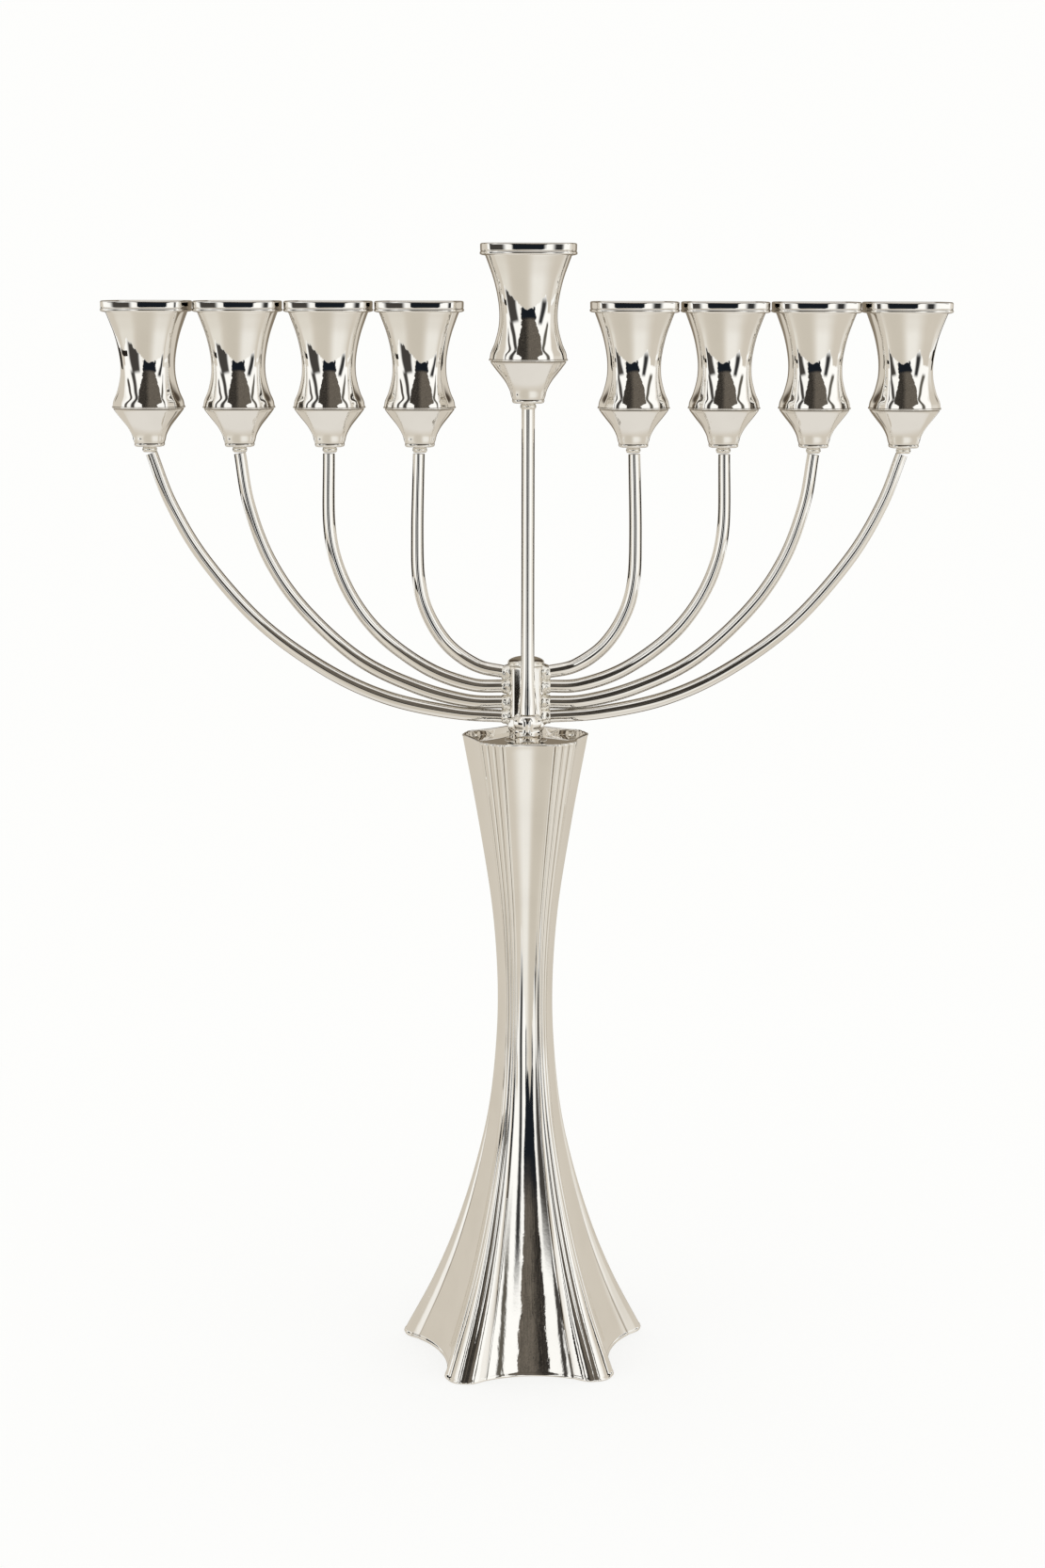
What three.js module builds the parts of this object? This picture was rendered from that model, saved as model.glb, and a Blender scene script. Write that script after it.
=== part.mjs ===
// A nine-light Hanukkah menorah in polished silver, 460 mm tall, standing on its own foot.
//
// A hollow five-lobed column carries a short hub. Four rods bend out of each side of the hub to a
// row of eight squared cups, and a ninth cup, the shamash, stands on its own rod in a socket in
// front of the hub, from which it lifts straight up. Millimetres, +Z up, the front faces -Y.

import * as THREE from 'three';

// ---- driving dimensions ----

const TOTAL_HEIGHT = 460; // floor to the shamash cup's rim
const GAP = 0.3; // left between pieces that touch
const SHEET = 0.9; // silver sheet of the cups

// Column: tip radius of the lobes against height, from the foot to the top rim.
const COLUMN_HEIGHT = 262.8;
const COLUMN_TURN = THREE.MathUtils.degToRad(3.2);
const COLUMN_WALL = 2;
const LOBES = 5;
const LOBE_TIP = [
  [53.7, 0], [40.6, 25], [30.2, 50], [20.9, 80], [14.7, 110],
  [11.7, 147], [13.4, 185], [19.3, 225], [26.2, COLUMN_HEIGHT],
];
const LOBE_HALF_ANGLE = THREE.MathUtils.degToRad(11.5);
const LOBE_CROWN_FOOT = 8.9; // how far a lobe stands out of its chord at the foot
const LOBE_CROWN_TOP = 0.4;
const CROWN_END = 150; // the lobes flatten into chamfers below this height
const FLUTE_DEPTH_FOOT = 5.2;
const FLUTE_DEPTH_WAIST = 0.5;
const FLUTE_DEPTH_TOP = 1.4;
const WAIST_HEIGHT = 147;
const LOBE_STEPS = 4;
const FLUTE_STEPS = 5;
const OUTSIDE_RINGS = 13;
const INSIDE_RINGS = 7;

// Plates that close the column, and the rod that draws them together.
const PLATE_THICKNESS = 2;
const TOP_PLATE_Z = COLUMN_HEIGHT - 4.5;
const BASE_PLATE_Z = 7;
const PLATE_CLEARANCE = 0.5;
const TIE_ROD_RADIUS = 2.5;
const TIE_ROD_HOLE = 2.9;
const TIE_ROD_BOTTOM = 1.4;
const TIE_ROD_TOP = 284;

// The nut and washer under the base plate.
const WASHER_RADIUS = 6;
const WASHER_HEIGHT = 1;
const NUT_RADIUS = 4.6;
const NUT_HEIGHT = 3.2;

// Hub: foot, barrel and domed cap, one above the other.
const HUB_FOOT_Z = TOP_PLATE_Z + PLATE_THICKNESS + GAP;
const HUB_FOOT_FLARE = 0.4;
const HUB_FOOT_FLARE_HEIGHT = 1.6;
const HUB_NECK_RADIUS = 6.7;
const HUB_COLLAR_RADIUS = 7.5;
const HUB_COLLAR_Z = 265.5;
const HUB_Z = 270.8;
const HUB_RADIUS = 7.2;
const HUB_TOP = 291.6;
const HUB_CAP_RADIUS = 7.4;
const HUB_CAP_HEIGHT = 3.5;
const HUB_CAP_EDGE = 0.8; // upright edge below the dome
const DOME_STEPS = 4;
const CHAMFER = 0.5; // broken edges of the small turned pieces

// Cups: half-width of the squared section against height above the cup's own foot.
const CUP_SPACING = 36.1;
const FIRST_CUP_X = 42.8;
const CUP_FOOT_Z = 380;
const CUP_HEIGHT = 57.5;
const RIM_HALF_WIDTH = 17.75;
const RIM_HEIGHT = 4.2;
const SHOULDER_Z = 15.3;
const CUP_FLOOR_Z = 17.2;
const CUP_WAIST = 10.65;
const CUP_WAIST_Z = 33;
const CUP_COLLAR = 15.6;
const CUP_WALL = [
  [14.3, SHOULDER_Z], [14.2, 17.2], [12.2, 21.6], [10.9, 27.5], [CUP_WAIST, CUP_WAIST_Z],
  [11.3, 38.5], [12.7, 44.5], [14.6, 50], [CUP_COLLAR, 53.2],
];
const CUP_WELL = [[CUP_WAIST, CUP_FLOOR_Z], [CUP_WAIST, CUP_WAIST_Z], [12.7, 46]]; // plus SHEET
const RIM_EDGE_RADIUS = 0.4;
const RIM_FOOT_HEIGHT = 0.9; // the thin edge that the rim band stands on
const CALYX_WALL = [[5.4, 0], [6.3, 1.4], [6.9, 4.6], [8.9, 8.2], [12, 11.8], [14.1, SHOULDER_Z - GAP]];
const CALYX_HOLLOW = [[12.9, SHOULDER_Z - GAP], [4.5, 5.5], [0, 5.5]];
const SHAMASH_SCALE = 1.077;
const CUP_YAW_DEGREES = { left: [-3, 0, 1, -1], right: [2, 0, 0, 0] };

// Arms: rods bent in one upright plane, from the hub to the cup's ferrule (x outward, z up). A
// rod is thickest a little way out of the hub and thins towards the cup.
const ARM_SIDES = 8;
const ARM_STEPS = 16;
const ARM_RADII = [[0, 2.6], [0.2, 2.85], [1, 2.4]]; // share of the length, radius
const ARM_START_X = HUB_COLLAR_RADIUS + GAP;
const ARM_TOP_Z = 377.2;
const ARM_ROUTES = [
  [[ARM_START_X, 288.7], [20, 291.5], [31.5, 299.6], [39.6, 312], [43.4, 326], [44, 346], [43.2, ARM_TOP_Z]],
  [[ARM_START_X, 283], [22, 283.6], [39, 289.6], [56, 301.3], [67.5, 314.2], [75.6, 330], [79.4, 348],
    [79.3, ARM_TOP_Z]],
  [[ARM_START_X, 276.4], [24, 277], [45, 282.7], [68.5, 294.4], [90.5, 314.8], [104, 335], [111.8, 357],
    [115, ARM_TOP_Z]],
  [[ARM_START_X, 270.5], [30, 272.2], [57, 278.2], [82, 289.9], [108, 309], [130, 334.5], [143, 357],
    [150.4, ARM_TOP_Z]],
];
const FERRULE_RADIUS = 3.1;
const FERRULE_HEIGHT = 1.4;

// Shamash: its socket stands on the top plate in front of the hub.
const SHAMASH_X = 0.6;
const SHAMASH_Y = -13.5;
const SOCKET_POST_RADIUS = 5.2;
const SOCKET_BULB_RADIUS = 5.65;
const SOCKET_BULB_Z = 268.3;
const SOCKET_TOP = 273.4;
const SOCKET_BORE = 2.75;
const SOCKET_FLOOR = 263.2;
const SHAMASH_ROD_RADIUS = 2.62;
const SHAMASH_FLARE = [[4, 0], [3.5, 5], [SHAMASH_ROD_RADIUS + 0.3, 12]]; // above the socket
const SHAMASH_FLARE_TOP = 292;
const SPIGOT_RADIUS = 2.4;

const ROUND = 16; // sides of the small turned pieces
const ROD_ROUND = 12; // sides of the straight rods and the ferrules

// ---- materials ----

const silver = new THREE.MeshStandardMaterial({ color: 0xd8d2c7, roughness: 0.08, metalness: 1 });
const steel = new THREE.MeshStandardMaterial({ color: 0x9a9a98, roughness: 0.35, metalness: 1 });

// ---- geometry helpers ----

const flat = ([x, z]) => new THREE.Vector2(x, z);

// A turned piece about Z from [radius, z] points, listed so that the outside runs upwards.
function turned(profile, sides = ROUND) {
  return new THREE.LatheGeometry(profile.map(flat), sides).rotateX(Math.PI / 2);
}

// A turned piece whose round section is bent to another outline: place(u, radius, z, row) gives
// the [x, y] of the point a share u of the way round, on the profile's point number row.
function shaped(profile, sides, place) {
  const geometry = turned(profile, sides);
  const position = geometry.attributes.position;
  for (let i = 0; i < position.count; i++) {
    const turn = Math.floor(i / profile.length) % sides;
    const row = i % profile.length;
    const [radius, z] = profile[row];
    const [x, y] = place(turn / sides, radius, z, row);
    position.setXYZ(i, x, y, z);
  }
  geometry.computeVertexNormals();
  return geometry;
}

// The point a share s (-1 to 1) along an arc that rises by crown over a chord from -half to half.
function onArc(half, crown, s) {
  if (Math.abs(crown) < 1e-6) return [s * half, 0];
  const sweep = 2 * Math.atan2(crown, half);
  const radius = half / Math.sin(sweep);
  return [radius * Math.sin(s * sweep), crown - radius * (1 - Math.cos(s * sweep))];
}

const atAngle = (angle, out, along = 0) => [
  out * Math.sin(angle) + along * Math.cos(angle),
  -out * Math.cos(angle) + along * Math.sin(angle),
];

function named(name, geometry, material = silver) {
  const mesh = new THREE.Mesh(geometry, material);
  mesh.name = name;
  return mesh;
}

function group(parts, x = 0, y = 0, z = 0) {
  const holder = new THREE.Group();
  holder.add(...parts);
  holder.position.set(x, y, z);
  return holder;
}

// ---- column ----

const lobeCurve = new THREE.SplineCurve(LOBE_TIP.map(flat));

function lobeCrown(z) {
  const low = Math.max(0, 1 - z / CROWN_END);
  return LOBE_CROWN_TOP + (LOBE_CROWN_FOOT - LOBE_CROWN_TOP) * low * low;
}

function fluteDepth(z) {
  const low = Math.max(0, 1 - z / WAIST_HEIGHT);
  const high = Math.max(0, (z - WAIST_HEIGHT) / (COLUMN_HEIGHT - WAIST_HEIGHT));
  return FLUTE_DEPTH_WAIST + (FLUTE_DEPTH_FOOT - FLUTE_DEPTH_WAIST) * low * low
    + (FLUTE_DEPTH_TOP - FLUTE_DEPTH_WAIST) * high;
}

// The column's section at height z: five convex lobes joined by five wide concave flutes. The
// outline is the one whose lobe tips are at tip, moved inwards by inset.
function columnOutline(u, tip, z, inset) {
  const steps = LOBE_STEPS + FLUTE_STEPS;
  const step = Math.round(u * LOBES * steps);
  const lobe = Math.floor(step / steps);
  const along = step % steps;
  const pitch = (2 * Math.PI) / LOBES;
  const crown = lobeCrown(z);
  const corner = (tip - crown) / Math.cos(LOBE_HALF_ANGLE);
  const middle = Math.PI + lobe * pitch;
  const onLobe = along <= LOBE_STEPS;
  const half = onLobe ? LOBE_HALF_ANGLE : pitch / 2 - LOBE_HALF_ANGLE;
  const centre = onLobe ? middle : middle + pitch / 2;
  const share = onLobe ? along / LOBE_STEPS : (along - LOBE_STEPS) / FLUTE_STEPS;
  const rise = onLobe ? crown : -fluteDepth(z);
  const [across, out] = onArc(corner * Math.sin(half), rise, 2 * share - 1);
  const [x, y] = atAngle(centre, corner * Math.cos(half) + out, across);
  const shrink = 1 - inset / Math.hypot(x, y);
  return [x * shrink, y * shrink];
}

const COLUMN_SIDES = LOBES * (LOBE_STEPS + FLUTE_STEPS);

function columnShell() {
  const outside = lobeCurve.getPoints(OUTSIDE_RINGS).map((p) => [p.x, p.y]);
  const inside = lobeCurve.getPoints(INSIDE_RINGS).map((p) => [p.x, p.y]).reverse();
  const profile = [...outside, ...inside, outside[0]];
  const isInside = (row) => row >= outside.length && row < profile.length - 1;
  return shaped(profile, COLUMN_SIDES, (u, tip, z, row) =>
    columnOutline(u, tip, z, isInside(row) ? COLUMN_WALL : 0));
}

function tipRadiusAt(height) {
  const points = lobeCurve.getPoints(200);
  return points.find((p) => p.y >= height).x;
}

// A flat plate that fills the column between two heights, with a hole for the tie rod.
function columnPlate(z, tightest) {
  const tip = tipRadiusAt(tightest);
  const top = z + PLATE_THICKNESS;
  const profile = [[TIE_ROD_HOLE, z], [tip, z], [tip, top], [TIE_ROD_HOLE, top], [TIE_ROD_HOLE, z]];
  const inset = COLUMN_WALL + PLATE_CLEARANCE;
  return shaped(profile, COLUMN_SIDES, (u, radius) =>
    radius === tip
      ? columnOutline(u, tip, tightest, inset)
      : atAngle(Math.PI - LOBE_HALF_ANGLE + 2 * Math.PI * u, TIE_ROD_HOLE));
}

function column() {
  const parts = group([
    named('column_shell', columnShell()),
    named('top_plate', columnPlate(TOP_PLATE_Z, TOP_PLATE_Z)),
    named('base_plate', columnPlate(BASE_PLATE_Z, BASE_PLATE_Z + PLATE_THICKNESS)),
  ]);
  parts.rotation.z = COLUMN_TURN;
  return parts;
}

// ---- tie rod and its nut, inside the column ----

function ring(inner, outer, z, height, sides = ROUND) {
  const top = z + height;
  return turned([[inner, z], [outer, z], [outer, top], [inner, top], [inner, z]], sides);
}

function fastening() {
  const washerZ = BASE_PLATE_Z - GAP - WASHER_HEIGHT;
  const nutZ = washerZ - GAP - NUT_HEIGHT;
  const rod = turned([[0, TIE_ROD_BOTTOM], [TIE_ROD_RADIUS, TIE_ROD_BOTTOM], [TIE_ROD_RADIUS, TIE_ROD_TOP],
    [0, TIE_ROD_TOP]], ROD_ROUND);
  return [
    named('tie_rod', rod, steel),
    named('tie_rod_washer', ring(TIE_ROD_HOLE, WASHER_RADIUS, washerZ, WASHER_HEIGHT), steel),
    named('tie_rod_nut', ring(TIE_ROD_HOLE, NUT_RADIUS, nutZ, NUT_HEIGHT, 6), steel),
  ];
}

// ---- hub ----

function hubFoot() {
  const top = HUB_Z - GAP;
  return turned([
    [TIE_ROD_HOLE, HUB_FOOT_Z], [HUB_NECK_RADIUS + HUB_FOOT_FLARE, HUB_FOOT_Z],
    [HUB_NECK_RADIUS, HUB_FOOT_Z + HUB_FOOT_FLARE_HEIGHT], [HUB_NECK_RADIUS, HUB_COLLAR_Z - CHAMFER],
    [HUB_COLLAR_RADIUS, HUB_COLLAR_Z], [HUB_COLLAR_RADIUS, top - CHAMFER], [HUB_RADIUS, top],
    [TIE_ROD_HOLE, top], [TIE_ROD_HOLE, HUB_FOOT_Z],
  ]);
}

function hubBarrel() {
  const bore = TIE_ROD_TOP + GAP;
  return turned([[0, bore], [TIE_ROD_HOLE, bore], [TIE_ROD_HOLE, HUB_Z], [HUB_RADIUS, HUB_Z],
    [HUB_RADIUS, HUB_TOP], [0, HUB_TOP]]);
}

function hubCap() {
  const foot = HUB_TOP + GAP;
  const rise = HUB_CAP_HEIGHT - HUB_CAP_EDGE;
  const profile = [[0, foot], [HUB_CAP_RADIUS, foot]];
  for (let i = 0; i < DOME_STEPS; i++) {
    const angle = (i / DOME_STEPS) * (Math.PI / 2);
    profile.push([HUB_CAP_RADIUS * Math.cos(angle), foot + HUB_CAP_EDGE + rise * Math.sin(angle)]);
  }
  return turned([...profile, [0, foot + HUB_CAP_HEIGHT]]);
}

const hub = () => [
  named('hub_foot', hubFoot()),
  named('hub', hubBarrel()),
  named('hub_cap', hubCap()),
];

// ---- cups ----

// How far a cup's flat panel reaches to each side of its middle, as a share of the half-width.
const PANEL_REACH = [[0, 0.78], [6, 0.74], [15.3, 0.64], [33, 0.75], [53, 0.82], [60, 0.84]];
const PANEL_CROWN = 0.08; // how far a panel's middle stands out, as a share of the half-width
const PANEL_STEPS = 3;

function panelReach(z) {
  const upper = PANEL_REACH.findIndex(([height]) => height >= z);
  if (upper <= 0) return PANEL_REACH[0][1];
  const [z0, reach0] = PANEL_REACH[upper - 1];
  const [z1, reach1] = PANEL_REACH[upper];
  return THREE.MathUtils.mapLinear(z, z0, z1, reach0, reach1);
}

// A cup's section: four slightly crowned panels with a narrow chamfer at each corner.
function cupOutline(u, halfWidth, z) {
  const steps = PANEL_STEPS + 1;
  const step = Math.round(u * 4 * steps);
  const side = Math.floor(step / steps);
  const across = (step % steps) / PANEL_STEPS;
  const [along, out] = onArc(halfWidth * panelReach(z), halfWidth * PANEL_CROWN, 2 * across - 1);
  const base = halfWidth * (1 - PANEL_CROWN);
  return atAngle((side * Math.PI) / 2, base + out, along);
}

const squared = (profile) => shaped(profile, 4 * (PANEL_STEPS + 1), cupOutline);

function cupBody() {
  const top = CUP_HEIGHT - 2 * GAP;
  const inside = [...CUP_WELL, [CUP_COLLAR, top]].map(([half, z]) => [half - SHEET, z]);
  return squared([[0, SHOULDER_Z], ...CUP_WALL, [CUP_COLLAR, top], ...inside.reverse(), [0, CUP_FLOOR_Z]]);
}

function cupRim() {
  const inner = CUP_COLLAR + GAP;
  const foot = CUP_HEIGHT - RIM_HEIGHT;
  return squared([
    [inner, foot], [RIM_HALF_WIDTH - RIM_EDGE_RADIUS, foot], [RIM_HALF_WIDTH, foot + RIM_FOOT_HEIGHT],
    [RIM_HALF_WIDTH, CUP_HEIGHT - RIM_EDGE_RADIUS], [RIM_HALF_WIDTH - RIM_EDGE_RADIUS, CUP_HEIGHT],
    [inner, CUP_HEIGHT], [inner, foot],
  ]);
}

const cupCalyx = () => squared([[0, 0], ...CALYX_WALL, ...CALYX_HOLLOW]);

function ferrule() {
  const edge = FERRULE_RADIUS - CHAMFER;
  const foot = -GAP - FERRULE_HEIGHT;
  const belly = [FERRULE_RADIUS, foot + FERRULE_HEIGHT / 2];
  return turned([[0, foot], [edge, foot], belly, [edge, -GAP], [0, -GAP]], ROD_ROUND);
}

// One cup with its four pieces, its foot at the origin.
function cup(name) {
  return [
    named(`${name}_body`, cupBody()),
    named(`${name}_rim`, cupRim()),
    named(`${name}_calyx`, cupCalyx()),
    named(`${name}_ferrule`, ferrule()),
  ];
}

// ---- arms ----

function armRadius(share) {
  const upper = Math.max(1, ARM_RADII.findIndex(([end]) => end >= share));
  const [share0, radius0] = ARM_RADII[upper - 1];
  const [share1, radius1] = ARM_RADII[upper];
  return THREE.MathUtils.mapLinear(share, share0, share1, radius0, radius1);
}

// A tapered round rod bent along a route of [x, z] points on one side of the hub.
function arm(route, side) {
  const path = new THREE.CatmullRomCurve3(route.map(([x, z]) => new THREE.Vector3(side * x, 0, z)));
  const profile = [[0, 0]];
  for (let i = 0; i <= ARM_STEPS; i++) profile.push([armRadius(i / ARM_STEPS), i / ARM_STEPS]);
  profile.push([0, 1]);
  const geometry = turned(profile, ARM_SIDES);
  const position = geometry.attributes.position;
  const across = new THREE.Vector3(0, 1, 0);
  for (let i = 0; i < position.count; i++) {
    const share = THREE.MathUtils.clamp(position.getZ(i), 0, 1);
    const inPlane = new THREE.Vector3().crossVectors(across, path.getTangentAt(share));
    const point = path.getPointAt(share)
      .addScaledVector(inPlane, position.getX(i))
      .addScaledVector(across, position.getY(i));
    position.setXYZ(i, point.x, point.y, point.z);
  }
  geometry.computeVertexNormals();
  return geometry;
}

// An arm and the cup on its end, number 1 being next to the hub.
function branch(sideName, side, i) {
  const name = `${sideName}_${i + 1}`;
  const cupX = side * (FIRST_CUP_X + i * CUP_SPACING);
  const holder = group(cup(`cup_${name}`), cupX, 0, CUP_FOOT_Z);
  holder.rotation.z = THREE.MathUtils.degToRad(CUP_YAW_DEGREES[sideName][i]);
  return [named(`arm_${name}`, arm(ARM_ROUTES[i], side)), holder];
}

const branches = () => [['left', -1], ['right', 1]].flatMap(([sideName, side]) =>
  ARM_ROUTES.flatMap((route, i) => branch(sideName, side, i)));

// ---- shamash ----

function shamashSocket() {
  return turned([
    [0, HUB_FOOT_Z], [SOCKET_POST_RADIUS, HUB_FOOT_Z], [SOCKET_POST_RADIUS, SOCKET_BULB_Z],
    [SOCKET_BULB_RADIUS, SOCKET_BULB_Z + 3 * CHAMFER], [SOCKET_BULB_RADIUS, SOCKET_TOP - 3 * CHAMFER],
    [SOCKET_BULB_RADIUS - 2 * CHAMFER, SOCKET_TOP], [SOCKET_BORE, SOCKET_TOP], [SOCKET_BORE, SOCKET_FLOOR],
    [0, SOCKET_FLOOR],
  ]);
}

// The rod flares where it stands on its socket, and a spigot below it reaches into the bore.
function shamashRod(top) {
  const foot = SOCKET_TOP + GAP;
  const flare = SHAMASH_FLARE.map(([radius, height]) => [radius, foot + height]);
  return turned([
    [0, SOCKET_FLOOR + GAP], [SPIGOT_RADIUS, SOCKET_FLOOR + GAP], [SPIGOT_RADIUS, foot], ...flare,
    [SHAMASH_ROD_RADIUS, SHAMASH_FLARE_TOP], [SHAMASH_ROD_RADIUS, top], [0, top],
  ], ROD_ROUND);
}

function shamash() {
  const cupFootZ = TOTAL_HEIGHT - CUP_HEIGHT * SHAMASH_SCALE;
  const rodTop = cupFootZ - (FERRULE_HEIGHT + 2 * GAP) * SHAMASH_SCALE;
  const holder = group(cup('shamash_cup'), 0, 0, cupFootZ);
  holder.scale.setScalar(SHAMASH_SCALE);
  const parts = [named('shamash_socket', shamashSocket()), named('shamash_rod', shamashRod(rodTop)), holder];
  return group(parts, SHAMASH_X, SHAMASH_Y);
}

// ---- assembly: the origin is under the middle of the whole object, on the floor ----

const menorah = group([column(), ...fastening(), ...hub(), ...branches(), shamash()]);
menorah.name = 'menorah';
menorah.updateMatrixWorld(true);
const bounds = new THREE.Box3().setFromObject(menorah, true);
menorah.position.set(-(bounds.min.x + bounds.max.x) / 2, -(bounds.min.y + bounds.max.y) / 2, -bounds.min.z);

export default menorah;
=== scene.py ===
import math

import bpy
import numpy as np
from mathutils import Euler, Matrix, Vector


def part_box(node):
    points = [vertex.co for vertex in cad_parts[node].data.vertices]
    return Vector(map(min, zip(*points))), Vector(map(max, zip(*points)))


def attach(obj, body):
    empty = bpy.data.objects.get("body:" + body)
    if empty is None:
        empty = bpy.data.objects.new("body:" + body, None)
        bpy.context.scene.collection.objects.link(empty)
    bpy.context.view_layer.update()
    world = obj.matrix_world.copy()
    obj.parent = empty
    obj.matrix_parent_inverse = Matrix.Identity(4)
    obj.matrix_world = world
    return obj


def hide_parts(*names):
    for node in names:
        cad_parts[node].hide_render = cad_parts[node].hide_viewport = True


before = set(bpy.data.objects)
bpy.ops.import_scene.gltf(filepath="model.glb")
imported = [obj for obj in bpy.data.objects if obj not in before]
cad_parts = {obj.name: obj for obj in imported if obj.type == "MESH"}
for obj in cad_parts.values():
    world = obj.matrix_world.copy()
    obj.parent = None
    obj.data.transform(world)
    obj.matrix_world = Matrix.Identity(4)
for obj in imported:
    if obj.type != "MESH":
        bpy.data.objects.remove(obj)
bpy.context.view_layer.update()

# A nine-light silver menorah. Shapes are worked out in millimetres, +Z up and the front towards
# -Y, round the column's axis or a cup's own foot, and turned into metres when a mesh is made.

MM = 0.001


def middle(node):
    """The middle of a CAD node's box, in mm."""
    low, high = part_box(node)
    return (np.array(low) + np.array(high)) / 2 / MM


def foot_of(node):
    """The point under the middle of a CAD node at its lowest height, in mm."""
    return np.array([*middle(node)[:2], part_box(node)[0].z / MM])


AXIS = np.array([*middle("hub")[:2], 0])
SHAMASH_AXIS = np.array([*middle("shamash_socket")[:2], 0])

# ---- camera ----

CAMERA_PLACE = (-1.35, -1082.2, 448.6)  # from the foot of the column's axis
CAMERA_DOWN = 10.79
CAMERA_ROLL = 0.12
CAMERA_LENS = 61.585


def make_camera():
    data = bpy.data.cameras.new("camera")
    data.lens = CAMERA_LENS
    data.sensor_width = 36
    camera = bpy.data.objects.new("camera", data)
    camera.location = (AXIS + CAMERA_PLACE) * MM
    look = Euler((math.radians(90 - CAMERA_DOWN), 0, 0)).to_matrix()
    roll = Euler((0, 0, math.radians(CAMERA_ROLL))).to_matrix()
    camera.rotation_euler = (look @ roll).to_euler()
    bpy.context.scene.collection.objects.link(camera)
    bpy.context.scene.camera = camera


# ---- curves ----

def spline(points, steps):
    """Points along a Catmull-Rom curve through the given ones, steps to each span."""
    p = np.array(points, float)
    p = np.vstack([2 * p[0] - p[1], p, 2 * p[-1] - p[-2]])
    out = []
    for i in range(1, len(p) - 2):
        for t in np.arange(steps) / steps:
            a, b, c, d = p[i - 1:i + 3]
            out.append(0.5 * (2 * b + (c - a) * t + (2 * a - 5 * b + 4 * c - d) * t * t
                              + (3 * b - a - 3 * c + d) * t ** 3))
    return np.array([*out, p[-2]])


def rounded(points, steps=5):
    """A line through (x, z) points whose third number, where there is one, rounds that corner off."""
    out = []
    for i, point in enumerate(points):
        corner = np.array(point[:2], float)
        radius = point[2] if len(point) > 2 else 0
        if not radius or i in (0, len(points) - 1):
            out.append(corner)
            continue
        before = np.array(points[i - 1][:2], float) - corner
        after = np.array(points[i + 1][:2], float) - corner
        start = corner + before * min(0.5, radius / np.hypot(*before))
        end = corner + after * min(0.5, radius / np.hypot(*after))
        for t in np.linspace(0, 1, steps):
            out.append((1 - t) ** 2 * start + 2 * t * (1 - t) * corner + t * t * end)
    return np.array(out)


def held(profile, near=0.3, long=4.0):
    """The profile with a point near each end of its long straight runs, which keeps them flat."""
    out = [np.array(profile[0], float)]
    for start, end in zip(profile, profile[1:]):
        run = np.array(end, float) - start
        length = np.hypot(*run)
        if length > long:
            out += [start + run * near / length, end - run * near / length]
        out.append(np.array(end, float))
    return out


def along(table, at):
    """A value read off a smooth curve through (place, value) pairs."""
    line = spline(table, 12)
    return np.interp(at, line[:, 0], line[:, 1])


# ---- meshes ----

def finish_piece(name, mesh, material, body, nodes, sharp):
    mesh.polygons.foreach_set("use_smooth", [True] * len(mesh.polygons))
    mesh.set_sharp_from_angle(angle=math.radians(sharp))
    piece = bpy.data.objects.new(name, mesh)
    piece.data.materials.append(material)
    bpy.context.scene.collection.objects.link(piece)
    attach(piece, body)
    if nodes:
        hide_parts(*nodes)
    return piece


def skin(name, rings, material, body="candelabrum", slot="silver_body", nodes=(), loop=False, sharp=40):
    """A piece through a list of rings of points in mm. A ring of one point is a pole, loop joins the
    last ring to the first, and the rings run so that the surface's outside is on the right."""
    counts = [len(ring) for ring in rings]
    starts = np.cumsum([0, *counts])
    lengths = np.cumsum([0, *(np.linalg.norm(b[0] - a[0]) for a, b in zip(rings, rings[1:]))])
    girths = [np.linalg.norm(np.roll(ring, -1, axis=0) - ring, axis=1).sum() for ring in rings]
    around = max(counts)
    here = np.arange(around)
    ahead = (here + 1) % around
    pairs = list(zip(range(len(rings)), range(1, len(rings)))) + ([(len(rings) - 1, 0)] if loop else [])
    faces, uvs = [], []
    for a, b in pairs:
        lower = [(a, here, here), (a, ahead, here + 1)] if counts[a] > 1 else [(a, 0 * here, here)]
        upper = [(b, ahead, here + 1), (b, here, here)] if counts[b] > 1 else [(b, 0 * here, here)]
        faces += np.stack([starts[r] + k for r, k, _ in lower + upper], 1).tolist()
        corners = [np.stack([u / around * girths[r], lengths[r] + 0 * u], 1) for r, _, u in lower + upper]
        uvs.append(np.stack(corners, 1).reshape(-1, 2))
    mesh = bpy.data.meshes.new(name)
    mesh.from_pydata(np.vstack(rings) * MM, [], faces)
    layer = mesh.uv_layers.new(name="along")
    layer.data.foreach_set("uv", (np.vstack(uvs) * MM).ravel())
    mesh.update()
    return finish_piece(name, mesh, material, body, nodes, sharp)


def turned_rings(profile, place, sides=64):
    """Rings about an upright axis through place from (radius, z) points; radius 0 gives a pole."""
    turn = np.arange(sides) / sides * 2 * math.pi + math.pi / 2
    rings = []
    for radius, z in held(profile):
        if radius < 1e-6:
            rings.append(np.array([place + (0, 0, z)]))
        else:
            rings.append(place + np.stack([radius * np.cos(turn), radius * np.sin(turn), z + 0 * turn], 1))
    return rings


def turned(name, profile, material, place=AXIS, **options):
    return skin(name, turned_rings(profile, place), material, **options)


# ---- materials ----

def node(tree, kind, inputs=None, **settings):
    made = tree.nodes.new(kind)
    for key, value in settings.items():
        setattr(made, key, value)
    for key, value in (inputs or {}).items():
        if isinstance(value, bpy.types.NodeSocket):
            tree.links.new(value, made.inputs[key])
        else:
            made.inputs[key].default_value = value
    return made


def maths(tree, operation, *values):
    return node(tree, "ShaderNodeMath", dict(enumerate(values)), operation=operation).outputs[0]


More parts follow.
